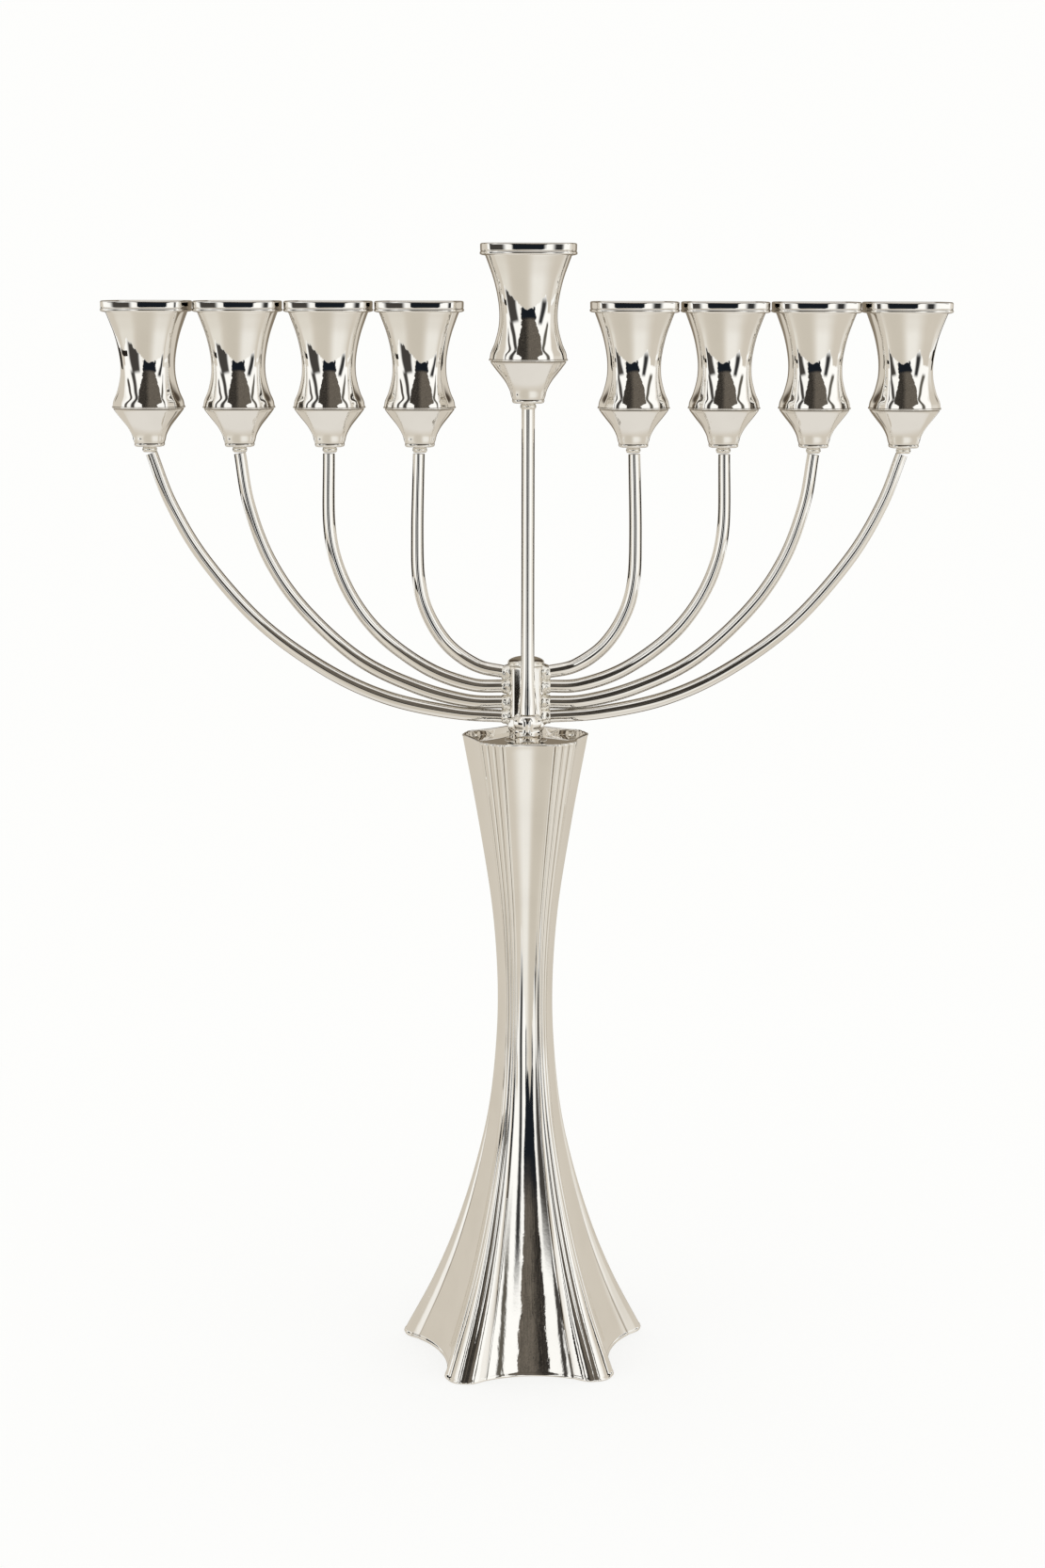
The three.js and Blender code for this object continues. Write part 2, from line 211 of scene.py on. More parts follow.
def mapped(tree, value, start, end, low=0.0, high=1.0):
    """A value carried from start..end to low..high, and held at those."""
    return node(tree, "ShaderNodeMapRange", {
        "Value": value, "From Min": start, "From Max": end, "To Min": low, "To Max": high}).outputs[0]


def noise(tree, vector, scale, detail, roughness=0.5, **settings):
    inputs = {"Vector": vector, "Scale": scale, "Detail": detail, "Roughness": roughness}
    return node(tree, "ShaderNodeTexNoise", inputs, **settings).outputs["Fac"]


def stretched(tree, vector, scale):
    return node(tree, "ShaderNodeMapping", {"Vector": vector, "Scale": scale}).outputs[0]


def layered(tree, below, colour, mask):
    mix = node(tree, "ShaderNodeMix", {"Factor": mask}, data_type="RGBA")
    if isinstance(below, bpy.types.NodeSocket):
        tree.links.new(below, mix.inputs[6])
    else:
        mix.inputs[6].default_value = (*below, 1)
    mix.inputs[7].default_value = (*colour, 1)
    return mix.outputs[2]


FILM_MOST = 0.06  # the share of tarnish on the open surface
GRAIN_TOP = 0.12  # where the foot's grain starts, in metres


def foot_texture(tree, spot):
    """A streaky cast grain that grows from nothing down to the foot."""
    height = node(tree, "ShaderNodeSeparateXYZ", {0: spot}).outputs["Z"]
    low = mapped(tree, height, GRAIN_TOP, 0.0)
    streak = noise(tree, stretched(tree, spot, (1.0, 1.0, 0.16)), 380.0, 2.0)
    cast = noise(tree, spot, 800.0, 2.0)
    return maths(tree, "MULTIPLY", maths(tree, "MULTIPLY_ADD", cast, 0.35, streak), low)


def silver(name, colour, tarnish, gloss, ripple, orange_peel, lines=0.0, foot_grain=0.0):
    """Polished silver: a clean colour that warms in the hollows, a gloss (lowest and highest
    roughness), slow ripples and a fine orange peel (heights in mm), lengthwise lines, and a grain that
    grows towards the foot."""
    material = bpy.data.materials.new(name)
    material.use_nodes = True
    tree = material.node_tree
    shader = tree.nodes["Principled BSDF"]
    shader.inputs["Metallic"].default_value = 1.0
    place = node(tree, "ShaderNodeTexCoord")
    spot = place.outputs["Object"]
    hollow = mapped(tree, node(tree, "ShaderNodeNewGeometry").outputs["Pointiness"], 0.495, 0.46)
    film = mapped(tree, noise(tree, spot, 55.0, 4.0), 0.45, 0.75, 0.0, FILM_MOST)
    dull = maths(tree, "MAXIMUM", hollow, film)
    tree.links.new(layered(tree, colour, tarnish, dull), shader.inputs["Base Color"])
    handling = noise(tree, spot, 130.0, 6.0, 0.65)
    tree.links.new(mapped(tree, handling, 0.35, 0.7, *gloss), shader.inputs["Roughness"])
    heights = [(noise(tree, spot, 120.0, 1.0), ripple), (noise(tree, spot, 420.0, 2.0), orange_peel)]
    if lines:
        drawn = stretched(tree, place.outputs["UV"], (1.0, 0.03, 1.0))
        heights.append((noise(tree, drawn, 400.0, 1.0, noise_dimensions="2D"), lines))
    if foot_grain:
        heights.insert(0, (foot_texture(tree, spot), foot_grain))
    normal = None
    for texture, height in heights:
        inputs = {"Height": texture, "Distance": height * MM, "Strength": 1.0}
        if normal:
            inputs["Normal"] = normal
        normal = node(tree, "ShaderNodeBump", inputs).outputs[0]
    tree.links.new(normal, shader.inputs["Normal"])
    return material


CLEAN = (0.93, 0.915, 0.885)
WARM = (0.62, 0.54, 0.42)
DARK = (0.24, 0.20, 0.15)
COLUMN_SILVER = silver("column_silver", CLEAN, DARK, (0.02, 0.05), 0.006, 0.0006, foot_grain=0.035)
CUP_SILVER = silver("cup_silver", CLEAN, DARK, (0.01, 0.03), 0.004, 0.0002)
ROD_SILVER = silver("rod_silver", CLEAN, WARM, (0.01, 0.03), 0.003, 0.0003, lines=0.02)
HUB_SILVER = silver("hub_silver", CLEAN, WARM, (0.02, 0.06), 0.010, 0.0006)
SOLDER_SILVER = silver("solder_silver", (0.88, 0.86, 0.81), (0.30, 0.25, 0.19), (0.08, 0.18), 0.05, 0.004)
SATIN_SILVER = silver("satin_silver", (0.80, 0.78, 0.74), WARM, (0.28, 0.42), 0.01, 0.003)
STEEL = silver("plain_steel", (0.56, 0.56, 0.55), (0.30, 0.27, 0.24), (0.22, 0.38), 0.004, 0.003)

# ---- column ----

COLUMN_TURN = math.radians(3.2)
COLUMN_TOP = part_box("column_shell")[1].z / MM
LOBES = 5
LOBE_TIP = [(0, 53.7), (25, 40.6), (50, 30.2), (80, 20.9), (110, 14.7), (147, 11.7), (185, 13.4), (225, 19.3),
            (COLUMN_TOP, 26.2)]
LOBE_HALF = math.radians(11.5)
LOBE_SAMPLES = 60
FLUTE_SAMPLES = 48
CROWN = [(0, 8.9), (30, 5.8), (60, 3.5), (90, 1.76), (120, 0.74), (150, 0.4), (COLUMN_TOP, 0.4)]
FLUTE_DEPTH = [(0, 4.0), (30, 2.65), (60, 1.75), (90, 1.25), (120, 0.85), (147, 0.7), (200, 1.0),
               (COLUMN_TOP, 1.4)]
REEDS = 3
REED_HEIGHT = [(0, 0.3), (40, 0.45), (80, 0.42), (110, 0.30), (147, 0.25), (200, 0.35), (COLUMN_TOP, 0.5)]
# a groove runs down both sides of each lobe
GROOVE_DEPTH = [(0, 0.15), (40, 0.22), (80, 0.33), (147, 0.25), (200, 0.4), (COLUMN_TOP, 0.6)]
GROOVE_WIDTH = 0.5
SMOOTHING = [(0, 5.0), (60, 2.0), (110, 0.8), (147, 0.5), (COLUMN_TOP, 0.5)]
WALL = 1.3
# (height, inset) round the foot's rolled edge, and (height below the top, inset) over the top edge
FOOT_EDGE = [(0.0, 0.6), (0.0, 0.15), (0.2, -0.12), (0.7, -0.2), (1.1, -0.1), (1.4, 0.0)]
TOP_EDGE = [(0.6, -0.1), (0.25, 0.0), (0.05, 0.25), (0.0, 0.55), (0.05, 0.9), (0.3, 1.15)]


def arc(half, crown, share):
    """Points a share (-1 to 1) along an arc that rises by crown over a chord: (along, out)."""
    sweep = 2 * math.atan2(crown, half)
    radius = half / math.sin(sweep)
    return radius * np.sin(share * sweep), crown - radius * (1 - np.cos(share * sweep))


def smoothed(points, width):
    """A closed outline averaged over a bell of that many points."""
    reach = int(3 * width) + 1
    shifts = np.arange(-reach, reach + 1)
    weights = np.exp(-0.5 * (shifts / width) ** 2)
    return sum(w * np.roll(points, s, axis=0) for s, w in zip(shifts, weights)) / weights.sum()


def column_outline(z, inset=0.0, detail=1.0):
    """The column's section at a height: five lobes, each of three fine reeds, and five wide flutes."""
    tip, crown, depth = along(LOBE_TIP, z), along(CROWN, z), along(FLUTE_DEPTH, z)
    corner = (tip - crown) / math.cos(LOBE_HALF)
    flute_half = math.pi / LOBES - LOBE_HALF
    lobe_share = np.arange(LOBE_SAMPLES) / LOBE_SAMPLES * 2 - 1
    flute_share = np.arange(FLUTE_SAMPLES) / FLUTE_SAMPLES * 2 - 1
    lobe_across, lobe_out = arc(corner * math.sin(LOBE_HALF), crown, lobe_share)
    flute_across, flute_out = arc(corner * math.sin(flute_half), depth, flute_share)
    across = np.concatenate([lobe_across, flute_across])
    out = np.concatenate([corner * math.cos(LOBE_HALF) + lobe_out, corner * math.cos(flute_half) - flute_out])
    turn = np.repeat([0.0, math.pi / LOBES], [LOBE_SAMPLES, FLUTE_SAMPLES])
    points = []
    for lobe in range(LOBES):
        angle = math.pi + lobe * 2 * math.pi / LOBES + turn
        points.append(np.stack([out * np.sin(angle) + across * np.cos(angle),
                                -out * np.cos(angle) + across * np.sin(angle)], 1))
    outline = smoothed(np.vstack(points), along(SMOOTHING, z))
    reed = ((lobe_share + 1) / 2 * REEDS) % 1 * 2 - 1
    from_edge = np.concatenate([(1 - abs(lobe_share)) * corner * math.sin(LOBE_HALF),
                                (1 - abs(flute_share)) * corner * math.sin(flute_half)])
    groove = along(GROOVE_DEPTH, z) * np.exp(-(from_edge / GROOVE_WIDTH) ** 2)
    cut = detail * (along(REED_HEIGHT, z) * np.concatenate([reed ** 2, np.zeros(FLUTE_SAMPLES)]) + groove)
    radius = np.hypot(*outline.T)
    outline *= ((radius - np.tile(cut, LOBES) - inset) / radius)[:, None]
    c, s = math.cos(COLUMN_TURN), math.sin(COLUMN_TURN)
    return np.stack([outline[:, 0] * c - outline[:, 1] * s, outline[:, 0] * s + outline[:, 1] * c], 1)


def column_ring(z, inset=0.0, detail=1.0, at=None):
    """A ring at height z of the outline found at height at."""
    outline = column_outline(z if at is None else at, inset, detail)
    return AXIS + np.column_stack([outline, np.full(len(outline), z)])


def column():
    rings = [column_ring(z, inset) for z, inset in FOOT_EDGE]
    rings += [column_ring(z) for z in [*np.linspace(1.8, 12, 8), *np.linspace(14, COLUMN_TOP - 1.2, 96)]]
    rings += [column_ring(COLUMN_TOP - below, inset, at=COLUMN_TOP) for below, inset in TOP_EDGE]
    rings += [column_ring(z, WALL, 0.3) for z in np.linspace(COLUMN_TOP - 0.8, 1.5, 40)]
    skin("column_outer_shell", rings, COLUMN_SILVER, nodes=["column_shell"], loop=True, sharp=60)


def plate(name, node_name, material, rim_inset):
    low, high = (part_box(node_name)[i].z / MM for i in (0, 1))

    def outline(z, inset):
        return column_ring(z, inset, 0.3, at=high)

    hole = turned_rings([(2.9, 0)], AXIS, LOBES * (LOBE_SAMPLES + FLUTE_SAMPLES))[0]
    start = np.argmin(np.linalg.norm(hole[:, :2] - outline(0, 5)[0, :2], axis=1))
    hole = np.roll(hole, -start, axis=0)
    ring_low, ring_high = hole + (0, 0, low), hole + (0, 0, high)
    steps = [0.25, 0.5, 0.75]
    across_low = [ring_low + (outline(low, rim_inset) - ring_low) * t for t in steps]
    across_high = [ring_high + (outline(high, rim_inset + 0.3) - ring_high) * t for t in reversed(steps)]
    rings = [ring_low, *across_low, outline(low, rim_inset), outline(high - 0.2, rim_inset),
             outline(high, rim_inset + 0.3), *across_high, ring_high]
    skin(name, rings, material, nodes=[node_name], loop=True)


# ---- hub, fastening and socket ----

def hub():
    foot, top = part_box("hub_foot")[0].z / MM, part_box("hub_foot")[1].z / MM
    turned("hub_neck", rounded([
        (2.9, foot), (8.6, foot), (8.6, foot + 0.7, 0.3), (7.0, foot + 1.2, 0.5), (6.7, 264.6, 0.4),
        (7.5, 265.6, 0.5), (7.5, top - 0.2, 0.5), (7.1, top), (2.9, top)]),
        HUB_SILVER, nodes=["hub_foot"], loop=True)
    low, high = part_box("hub")[0].z / MM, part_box("hub")[1].z / MM
    barrel = rounded([(0, low - 0.25), (7.1, low - 0.25), (7.2, low + 0.1), (7.2, high - 0.2, 0.3),
                      (6.9, high), (0, high)])
    turned("hub_barrel", barrel, HUB_SILVER, nodes=["hub"])
    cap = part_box("hub_cap")[0].z / MM
    quarter = np.linspace(0, math.pi / 2, 14)[:-1]
    dome = [(7.45 * math.cos(a), cap + 0.9 + 2.6 * math.sin(a)) for a in quarter]
    edge = rounded([(6.6, cap - 0.25), (7.5, cap - 0.1, 0.4), (7.45, cap + 0.9)])
    turned("hub_dome", [(0, cap - 0.25), *edge, *dome, (0, cap + 3.5)], SOLDER_SILVER, nodes=["hub_cap"])


def fastening():
    low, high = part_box("tie_rod")[0].z / MM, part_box("tie_rod")[1].z / MM
    thread = [(2.5 - 0.25 * (i % 2), low + 0.6 + 0.4 * i) for i in range(30)]
    shank = [(2.5, thread[-1][1] + 0.4), (2.5, high), (0, high)]
    turned("threaded_tie_rod", [(0, low), (1.9, low), *thread, *shank], STEEL, slot="steel_fastening",
           nodes=["tie_rod"])
    for name, sides, radius, edge in [("tie_rod_washer", 48, 6, 0.15), ("tie_rod_nut", 6, 4.6, 0.4)]:
        bottom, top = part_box(name)[0].z / MM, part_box(name)[1].z / MM
        profile = rounded([(2.7, bottom), (radius - edge, bottom), (radius, bottom + edge),
                           (radius, top - edge), (radius - edge, top), (2.7, top)])
        skin(f"plain_{name}", turned_rings(profile, AXIS, sides), STEEL, slot="steel_fastening", nodes=[name],
             loop=True, sharp=25)


def socket():
    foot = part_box("shamash_socket")[0].z / MM
    post, bulb, top, floor, bore = 5.2, 5.65, 273.4, 263.2, 2.75
    profile = [(0, foot), (post + 0.6, foot), (post + 0.5, foot + 0.7, 0.3), (post, foot + 1.0, 0.3)]
    for z in (263.4, 265.6):  # two fine turned rings
        ring = post + 0.18
        profile += [(post, z - 0.35), (ring, z - 0.1, 0.1), (ring, z + 0.1, 0.1), (post, z + 0.35)]
    profile += [(post, 267.4, 0.4), (bulb - 0.4, 268.2, 0.6), (bulb, 269.2, 0.8), (bulb, 272.0, 1.0),
                (bulb - 0.9, top, 0.5), (bore, top), (bore, floor), (0, floor)]
    turned("shamash_post", rounded(profile), HUB_SILVER, place=SHAMASH_AXIS, nodes=["shamash_socket"])


# ---- arms ----

ARM_START = 7.8
ARM_TOP = 377.2
ARM_ROUTES = [
    [(ARM_START, 288.7), (20, 291.5), (31.5, 299.6), (39.6, 312), (43.4, 326), (44, 346), (43.2, ARM_TOP)],
    [(ARM_START, 283), (22, 283.6), (39, 289.6), (56, 301.3), (67.5, 314.2), (75.6, 330), (79.4, 348),
     (79.3, ARM_TOP)],
    [(ARM_START, 276.4), (24, 277), (45, 282.7), (68.5, 294.4), (90.5, 314.8), (104, 335), (111.8, 357),
     (115, ARM_TOP)],
    [(ARM_START, 270.5), (30, 272.2), (57, 278.2), (82, 289.9), (108, 309), (130, 334.5), (143, 357),
     (150.4, ARM_TOP)],
]
ARM_RADIUS = [(0, 2.6), (0.1, 2.72), (0.2, 2.85), (0.6, 2.62), (1, 2.4)]
ROD_SIDES = 36
RANDOM = np.random.default_rng(5)
# radius and distance out along a bead of solder
SOLDER_SHAPE = [(3.7, 0.0), (3.6, 0.7), (3.3, 1.3), (3.1, 1.8), (3.05, 2.3), (2.95, 2.8), (2.8, 3.2),
                (2.5, 3.5)]


def wobble(count, size, waves=9):
    """A slow random waviness along a hand-bent rod, in mm."""
    t = np.linspace(0, 1, count)
    phases = RANDOM.uniform(0, 2 * math.pi, waves)
    sizes = RANDOM.normal(0, 1, waves) / np.arange(1, waves + 1) ** 0.5
    total = sum(s * np.sin(2 * math.pi * (k + 1) * t + p) for k, (s, p) in enumerate(zip(sizes, phases)))
    return size * total


def rod_rings(route, radii):
    """Rings of a round rod along points (x, y, z) that lie in an upright plane, closed at its ends."""
    tangent = np.gradient(route, axis=0)
    tangent /= np.linalg.norm(tangent, axis=1)[:, None]
    across = np.array([0, 1.0, 0])
    turn = np.arange(ROD_SIDES) / ROD_SIDES * 2 * math.pi + math.pi / 2
    rings = [route[:1]]
    for point, ahead, radius in zip(route, tangent, radii):
        up = np.cross(across, ahead)
        rings.append(point + radius * (np.cos(turn)[:, None] * up + np.sin(turn)[:, None] * across))
    rings.append(route[-1:])
    return rings


def arm(name, points, side):
    line = spline(points, 16)
    count = len(line)
    route = AXIS + np.column_stack([side * line[:, 0], np.zeros(count), line[:, 1]])
    travelled = np.concatenate([[0], np.cumsum(np.linalg.norm(np.diff(line, axis=0), axis=1))])
    radii = along(ARM_RADIUS, travelled / travelled[-1]) + wobble(count, 0.012)
    skin(f"{name}_rod", rod_rings(route, radii), ROD_SILVER, slot="silver_rod", nodes=[name], sharp=60)
    solder(name, route, side)


def solder(name, route, side):
    """The rough bead of solder that holds an arm to the hub."""
    start = route[0] - (side * 1.3, 0, 0)
    turn = np.arange(ROD_SIDES) / ROD_SIDES * 2 * math.pi + math.pi / 2
    rings = [np.array([start])]
    lumps = np.zeros(ROD_SIDES)
    for radius, out in SOLDER_SHAPE:
        fresh = sum(RANDOM.normal(0, 0.05) * np.sin(k * turn + RANDOM.uniform(0, 6)) for k in range(2, 9))
        lumps = 0.6 * lumps + fresh
        across, up = (radius + lumps) * np.cos(turn), (radius + lumps) * np.sin(turn)
        rings.append(start + np.stack([np.full(ROD_SIDES, side * out), across, up], 1))
    rings.append(np.array([start + (side * SOLDER_SHAPE[-1][1], 0, 0)]))
    if side < 0:
        rings = [np.roll(ring[::-1], 1, axis=0) if len(ring) > 1 else ring for ring in rings]
    skin(f"{name}_solder", rings, SOLDER_SILVER, slot="silver_rod", sharp=60)


# ---- cups ----

CUP_HEIGHT = 57.5
SHOULDER = 15.3
CUP_WALL = [(14.15, 16.1), (13.75, 18.3), (12.3, 21.8), (10.9, 27.5), (10.65, 33), (11.3, 38.5), (12.7, 44.5),
            (14.6, 50), (15.9, 53.4)]
CUP_WELL = [(9.75, 19.0), (9.75, 27.5), (9.8, 33), (10.5, 38.5), (11.9, 44.5), (13.8, 50), (15.0, 53.4)]
PANEL_REACH = [(0, 0.78), (6, 0.74), (15.3, 0.64), (33, 0.75), (53, 0.82), (60, 0.84)]
PANEL_CROWN = [(0, 0.102), (15, 0.125), (22, 0.15), (28, 0.13), (34, 0.105), (40, 0.102), (60, 0.102)]
PANEL_SAMPLES = 20
EDGE_SAMPLES = 5
CHAMFER_SAMPLES = 6
CUP_YAW = {"left": (-3, 0, 1, -1), "right": (2, 0, 0, 0)}


def bend(start, corner, end, count):
    t = np.linspace(0, 1, count)[:, None]
    return (1 - t) ** 2 * start + 2 * t * (1 - t) * corner + t * t * end


def cup_outline(half, z):
    """A cup's section: four crowned panels, a chamfer at each corner, and a small round on each edge."""
    reach = half * along(PANEL_REACH, z)
    crown = half * along(PANEL_CROWN, z)
    cut = min(0.7, 0.08 * half)
    share = np.linspace(-1, 1, PANEL_SAMPLES) * (1 - cut / reach)
    panel = np.stack(arc(reach, crown, share), 1) + (0, half - crown)
    right, left = np.array([reach, half - crown]), np.array([half - crown, reach])
    chamfer = (left - right) / np.hypot(*(left - right))
    inner = [right + chamfer * cut, left - chamfer * cut]
    flat = inner[0] + (inner[1] - inner[0]) * np.linspace(0, 1, CHAMFER_SAMPLES)[1:-1, None]
    after = np.array([panel[0, 1], -panel[0, 0]])  # the next panel's first point
    quarter = np.vstack([panel[:-1], bend(panel[-1], right, inner[0], EDGE_SAMPLES), flat,
                         bend(inner[1], left, after, EDGE_SAMPLES)[:-1]])
    points = []
    x, y = quarter.T
    for side in range(4):
        c, s = math.cos(side * math.pi / 2), math.sin(side * math.pi / 2)
        points.append(np.stack([y * s + x * c, -y * c + x * s], 1))
    return np.vstack(points)


def cup_rings(profile, place, yaw, scale):
    rings = []
    c, s = math.cos(yaw), math.sin(yaw)
    for half, z in profile:
        if half < 1e-6:
            rings.append(np.array([place + (0, 0, z * scale)]))
            continue
        x, y = cup_outline(half, z).T
        rings.append(place + scale * np.stack([x * c - y * s, x * s + y * c, np.full(len(x), z)], 1))
    return rings


def cup_profiles():
    """Half-width against height for a cup's body, rim and calyx, each closed on itself or on the axis."""
    lip = rounded([(0, SHOULDER), (13.6, SHOULDER), (14.45, SHOULDER + 0.1, 0.3),
                   (14.5, SHOULDER + 0.55, 0.3), (14.1, SHOULDER + 0.75)])
    wall = spline(CUP_WALL, 5)
    well = spline(CUP_WELL, 4)[::-1]
    floor = rounded([(9.75, 18.6), (9.7, 17.2, 1.2), (8.2, 17.2), (0, 17.2)])
    body = np.vstack([lip, wall, [(15.9, 57.0), (15.1, 57.0)], well, floor])
    rim = rounded([
        (15.95, 53.1), (17.0, 53.25, 0.2), (17.75, 53.55, 0.3), (17.75, 54.3, 0.3), (17.4, 54.6, 0.15),
        (17.55, 54.9, 0.2), (17.6, 57.15, 0.25), (17.25, CUP_HEIGHT, 0.3), (15.3, CUP_HEIGHT - 0.05, 0.5),
        (15.05, 56.4, 0.4), (15.05, 54.6), (15.95, 53.9)])
    rim = np.array(held(rim, near=0.2, long=1.2))
    bowl = spline([(5.9, 1.5), (6.3, 2.6), (6.9, 4.8), (8.7, 8.1), (11.7, 11.9), (13.6, 14.4)], 6)
    calyx = np.vstack([rounded([(0, 0), (4.9, 0), (5.7, 0.15, 0.3), (6.0, 0.9, 0.4), (5.8, 1.4, 0.2)]), bowl,
                       [(13.9, 15.0), (0, 15.0)]])
    return {"body": (body, False), "rim": (rim, True), "calyx": (calyx, False)}


CUP_PROFILES = cup_profiles()


def cup(name, body, yaw_degrees=0.0, scale=1.0):
    place = foot_of(f"{name}_calyx")
    yaw = math.radians(yaw_degrees)
    for part, (profile, loop) in CUP_PROFILES.items():
        skin(f"{name}_{part}_shell", cup_rings(profile, place, yaw, scale), CUP_SILVER, body=body,
             slot="silver_cup", nodes=[f"{name}_{part}"], loop=loop, sharp=50)
    bead = rounded([(0, -2.3), (2.5, -2.3, 0.3), (2.9, -1.7, 0.4), (3.0, -0.9, 0.5), (2.6, -0.3, 0.2),
                    (2.9, 0.1, 0.2), (0, 0.1)])
    turned(f"{name}_bead", bead * scale, SOLDER_SILVER, place=place, body=body, slot="silver_cup",
           nodes=[f"{name}_ferrule"])


def shamash_rod():
    foot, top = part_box("shamash_rod")[0].z / MM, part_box("shamash_rod")[1].z / MM
    seat = 273.7
    flare = spline([(3.9, seat + 0.2), (3.75, seat + 3), (3.3, seat + 8), (2.95, seat + 13), (2.72, 295),
                    (2.66, 310)], 5)
    heights = np.linspace(314, top, 30)
    upper = np.stack([2.62 + wobble(30, 0.008), heights], 1)
    spigot = [(0, foot), (2.2, foot), (2.4, foot + 0.3), (2.4, seat), (3.7, seat)]
    profile = np.vstack([spigot, flare, upper, [(0, top)]])
    turned("shamash_stem", profile, ROD_SILVER, place=SHAMASH_AXIS, body="shamash", slot="silver_rod",
           nodes=["shamash_rod"])


# ---- studio ----

BACKDROP = (0.988, 0.988, 0.975)
FLOOR_GLOW = 0.7  # how much of the floor near the foot is plain glow
FLOOR_REACH = 6.0
FLOOR_ROWS = 12


def smooth_mask(tree, value, low, high, soft):
    """1 where value is between low and high, falling smoothly to 0 over soft at each end."""
    ends = [node(tree, "ShaderNodeMapRange", {"Value": value, "From Min": start, "From Max": end},
                 interpolation_type="SMOOTHSTEP").outputs[0]
            for start, end in ((low - soft, low + soft), (high + soft, high - soft))]
    return maths(tree, "MULTIPLY", *ends)


BEIGE = (0.66, 0.61, 0.53)
# What the silver mirrors, in the order it is laid on: colour, azimuth from and to (0 is the
# front, towards +X positive), elevation from and to, softness of each, in degrees.
TABLE = [
    ((0.93, 0.91, 0.88), (-180, 180), (44, 90), (8, 10)),  # pale ceiling
    ((0.78, 0.75, 0.70), (-180, 180), (-91, -56), (8, 10)),  # the table close to the foot
    ((0.79, 0.755, 0.69), (45, 105), (-40, 10), (6, 8)),
    ((0.08, 0.062, 0.045), (128, 250), (10, 60), (5, 5)),  # dark room behind, high up
    ((0.08, 0.062, 0.045), (-250, -128), (10, 60), (5, 5)),
    ((0.10, 0.08, 0.06), (148, 250), (-60, -26), (5, 5)),  # the table's far edge
    ((0.10, 0.08, 0.06), (-250, -148), (-60, -26), (5, 5)),
    ((0.24, 0.20, 0.15), (163, 197), (-60, 60), (3, 6)),  # the gap straight behind
    ((0.24, 0.20, 0.15), (-197, -163), (-60, 60), (3, 6)),
    ((0.89, 0.87, 0.82), (1, 22), (-44, -4), (8, 12)),  # light streak on the table
    ((0.80, 0.77, 0.70), (-42, -22), (-44, -4), (5, 12)),
    ((0.62, 0.575, 0.495), (-18, 0), (-50, -6), (7, 8)),  # its shadow side
]
FRONT = [
    ((0.95, 0.93, 0.89), (-75, 75), (-60, 46), (6, 6)),  # pale front walls
    ((1.08, 1.08, 1.06), (5, 62), (-60, 50), (2, 5)),  # white screen on the right
    ((1.06, 1.06, 1.04), (-60, -13), (-60, 50), (3, 5)),  # white screen on the left
    ((0.06, 0.055, 0.05), (-32, -17), (-29, 4), (2, 4)),  # dark stand on the left, narrower higher up
    ((0.06, 0.055, 0.05), (-36, -28), (0, 50), (2, 5)),
    ((0.10, 0.09, 0.08), (-50, -44), (10, 50), (1, 3)),
    ((0.035, 0.035, 0.035), (18, 25), (-20, 8), (2, 4)),  # dark stand on the right
    ((0.12, 0.11, 0.09), (34, 41), (2, 50), (2, 4)),
]
TABLE_EDGE = -9.5  # how low the table's edge is straight ahead
OPENING_HALF_WIDTH = [(-17, 6.0), (-10, 10.0), (0, 12.0), (8, 13.5), (14, 15.5), (20, 19.0), (32, 27.0),
                      (50, 31.0)]  # against elevation
OPENING_LOW, OPENING_HIGH, OPENING_WIDEST = -20.0, 60.0, 30.0  # the ranges of the curve that holds them
EDGE_FALL = 0.75  # how steeply the table's edge drops to the sides, and from how far out
EDGE_FALL_FROM = 5
EDGE_CLIMB = 1.6  # and climbs again, to meet its middle height on the left and on the right
EDGE_MEETS_LEFT, EDGE_MEETS_RIGHT = 46, 31


def table_edge(tree, azimuth, elevation, jitter):
    """1 above the table's ragged edge, which dips on both sides of the middle."""
    aside = maths(tree, "ABSOLUTE", azimuth)
    fall = maths(tree, "MULTIPLY_ADD", aside, EDGE_FALL, -EDGE_FALL * EDGE_FALL_FROM)
    reach = mapped(tree, azimuth, -1.0, 1.0, EDGE_CLIMB * EDGE_MEETS_LEFT, EDGE_CLIMB * EDGE_MEETS_RIGHT)
    climb = maths(tree, "MULTIPLY_ADD", aside, -EDGE_CLIMB, reach)
    drop = maths(tree, "MAXIMUM", maths(tree, "MINIMUM", fall, climb), 0.0)
    level = maths(tree, "ADD", maths(tree, "ADD", drop, elevation), jitter)
    return mapped(tree, level, TABLE_EDGE - 0.7, TABLE_EDGE + 0.7)


